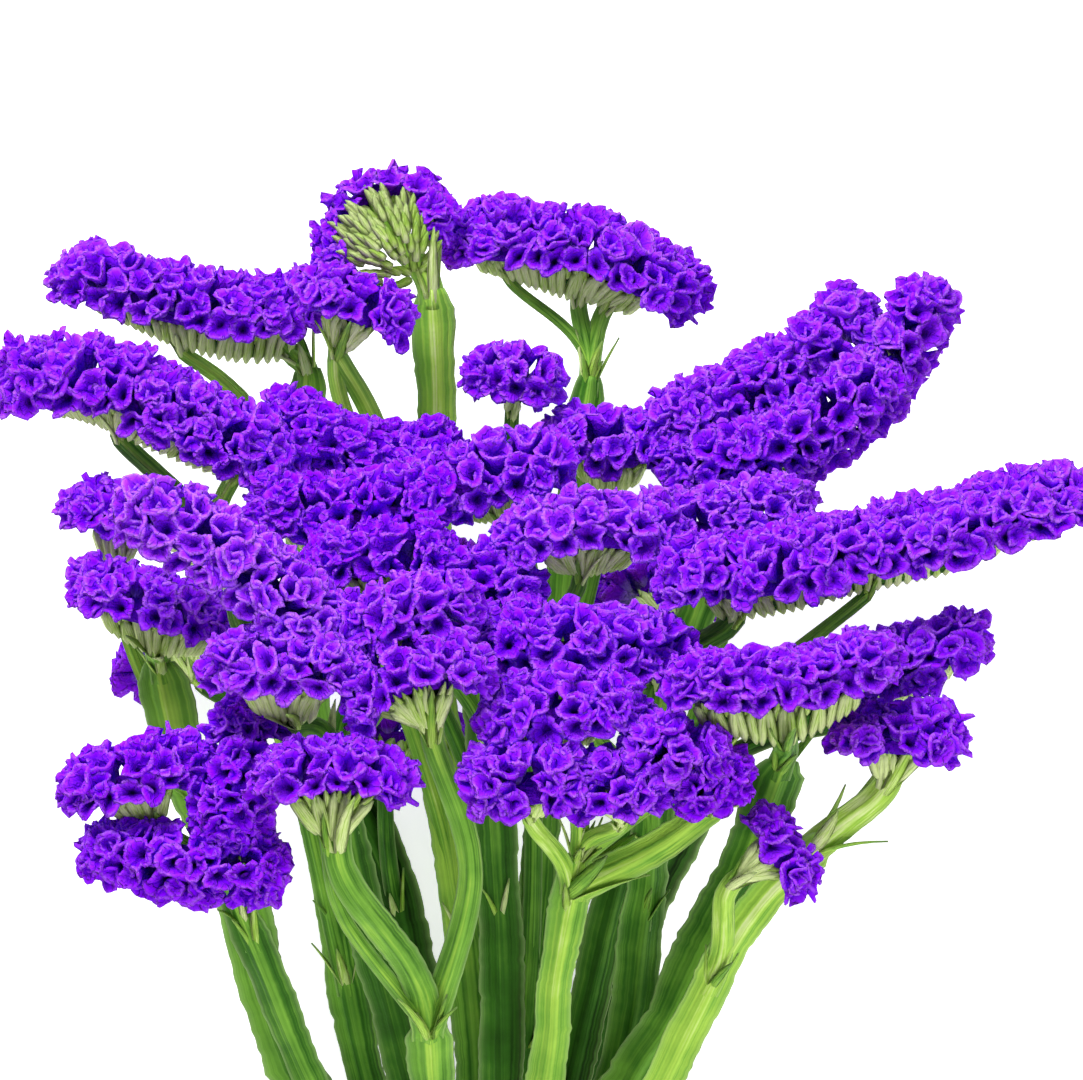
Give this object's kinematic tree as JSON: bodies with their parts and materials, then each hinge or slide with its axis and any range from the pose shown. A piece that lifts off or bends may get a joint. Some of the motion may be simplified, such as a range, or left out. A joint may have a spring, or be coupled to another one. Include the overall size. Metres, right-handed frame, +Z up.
{
  "type": "statice bunch",
  "caption": "Cut bunch of statice lying on its side: winged green stems tied with twine, branching into scaly combs that carry papery violet flowers.",
  "frame": {"origin": "on the surface the bunch lies on, under the middle of the tie", "axes": "+Y from the cut ends towards the flowers, along the bunch; +Z up, away from the surface"},
  "size_m": [0.2567, 0.4492, 0.1515],
  "materials": {
    "stem_green": "matte, finely ribbed plant skin",
    "calyx_violet": "dry and papery, slightly translucent",
    "twine": "matte twisted fibre"
  },
  "bodies": {
    "root": {"stem_rear_1": "stem_green", "stem_rear_2": "stem_green", "stem_back_1": "stem_green", "stem_back_2": "stem_green", "stem_back_3": "stem_green", "stem_back_4": "stem_green", "stem_middle_1": "stem_green", "stem_middle_2": "stem_green", "stem_middle_3": "stem_green", "stem_middle_4": "stem_green", "stem_front_1": "stem_green", "stem_front_2": "stem_green", "stem_front_3": "stem_green", "stem_front_4": "stem_green", "stem_front_5": "stem_green", "spike_01": "calyx_violet", "spike_02": "calyx_violet", "spike_03": "calyx_violet", "spike_04": "calyx_violet", "spike_05": "calyx_violet", "spike_06": "calyx_violet", "spike_07": "calyx_violet", "spike_08": "calyx_violet", "spike_10": "calyx_violet", "spike_11": "calyx_violet", "spike_12": "calyx_violet", "spike_13": "calyx_violet", "spike_14": "calyx_violet", "spike_15": "calyx_violet", "spike_16": "calyx_violet", "spike_17": "calyx_violet", "spike_18": "calyx_violet", "spike_19": "calyx_violet", "spike_21": "calyx_violet", "spike_22": "calyx_violet", "spike_23": "calyx_violet", "spike_24": "calyx_violet", "spike_25": "calyx_violet", "spike_26": "calyx_violet", "spike_28": "calyx_violet", "spike_29": "calyx_violet", "spike_30": "calyx_violet", "spike_31": "calyx_violet", "spike_32": "calyx_violet", "spike_33": "calyx_violet", "spike_34": "calyx_violet", "spike_35": "calyx_violet", "spike_36": "calyx_violet", "spike_37": "calyx_violet", "spike_38": "calyx_violet", "spike_39": "calyx_violet", "spike_40": "calyx_violet", "spike_41": "calyx_violet", "spike_51": "calyx_violet", "spike_52": "calyx_violet", "spike_53": "calyx_violet", "spike_54": "calyx_violet", "spike_55": "calyx_violet", "spike_56": "calyx_violet", "twine_tie": "twine"}
  },
  "joints": []
}
